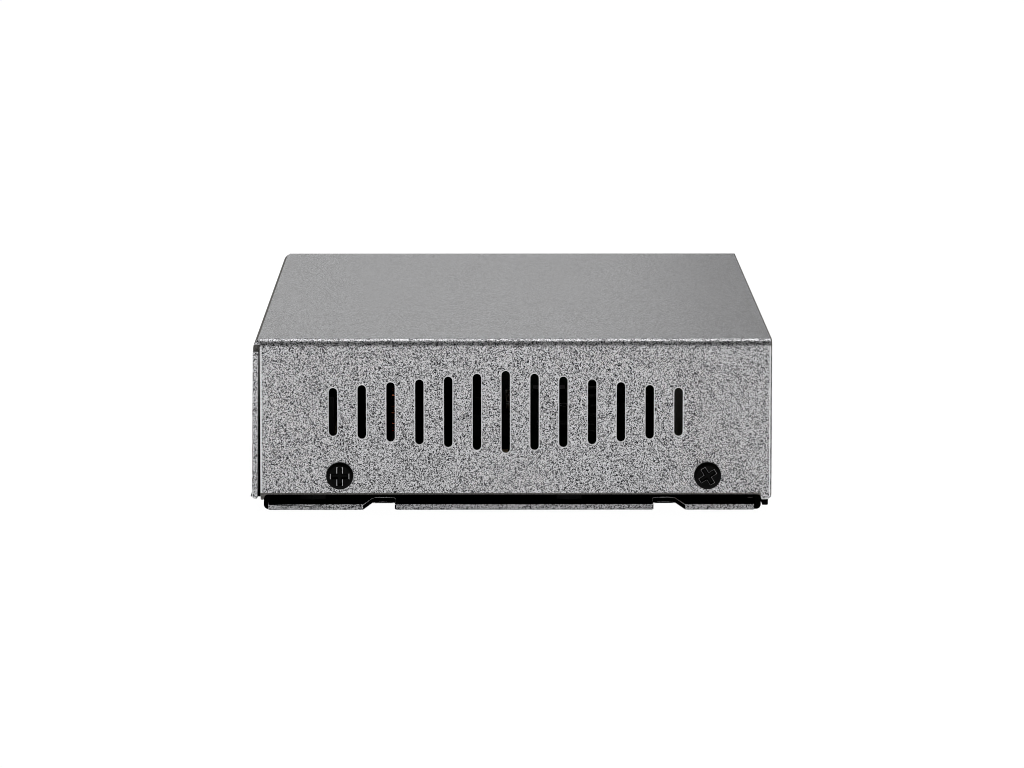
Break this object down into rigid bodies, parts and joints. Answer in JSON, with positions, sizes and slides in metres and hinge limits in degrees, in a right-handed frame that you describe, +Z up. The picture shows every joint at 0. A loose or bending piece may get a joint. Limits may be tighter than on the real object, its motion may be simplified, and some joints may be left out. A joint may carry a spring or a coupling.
{
  "type": "power over ethernet switch",
  "caption": "Small desktop network switch that also feeds power: folded grey metal case, vented sides, a row of sockets and lamps in front, round inlet behind.",
  "frame": {"origin": "middle of the footprint, on the surface that the case rests on", "axes": "+Z up, X along the case's long side, sockets and lamps face -Y, power inlet faces +Y"},
  "size_m": [0.1726, 0.103, 0.0341],
  "materials": {
    "case_paint": "metallic grey powder coat with fine flecks",
    "black_steel": "blackened",
    "zinc_steel": "zinc plated",
    "board_laminate": "solder mask",
    "black_plastic": "moulded",
    "shield_plate": "nickel plated",
    "contact_gold": "gold plated",
    "lamp_lens": "clear moulded",
    "ferrite": "coated",
    "copper_wire": "enamelled",
    "can_metal": "drawn",
    "sleeve_film": "shrunk film",
    "chip_moulding": "moulded epoxy",
    "part_ceramic": "fired",
    "sink_metal": "black anodised",
    "pad_rubber": "soft"
  },
  "bodies": {
    "root": {"top_cover": "case_paint", "base_tray": "case_paint", "cover_screws": "black_steel", "board_standoffs": "zinc_steel", "board_screws": "zinc_steel", "circuit_board": "board_laminate", "port_housing_left": "black_plastic", "port_housing_right": "black_plastic", "uplink_housing": "black_plastic", "port_shield_left": "shield_plate", "port_shield_right": "shield_plate", "uplink_shield": "shield_plate", "port_contacts_left": "contact_gold", "port_contacts_right": "contact_gold", "uplink_contacts": "contact_gold", "lamp_holders": "black_plastic", "status_lamps": "lamp_lens", "power_jack_body": "black_plastic", "power_jack_pin": "zinc_steel", "power_jack_spring": "contact_gold", "input_fuse": "part_ceramic", "power_diodes": "chip_moulding", "choke_core": "ferrite", "choke_winding": "copper_wire", "choke_base": "black_plastic", "capacitor_cans": "can_metal", "capacitor_sleeves": "sleeve_film", "power_inductors": "ferrite", "lan_transformers": "chip_moulding", "port_transistors": "chip_moulding", "poe_controllers": "chip_moulding", "switch_chip": "chip_moulding", "thermal_pad": "pad_rubber", "heat_sink": "sink_metal", "flash_memory": "chip_moulding", "crystal_can": "zinc_steel", "chip_capacitors": "part_ceramic"}
  },
  "joints": []
}
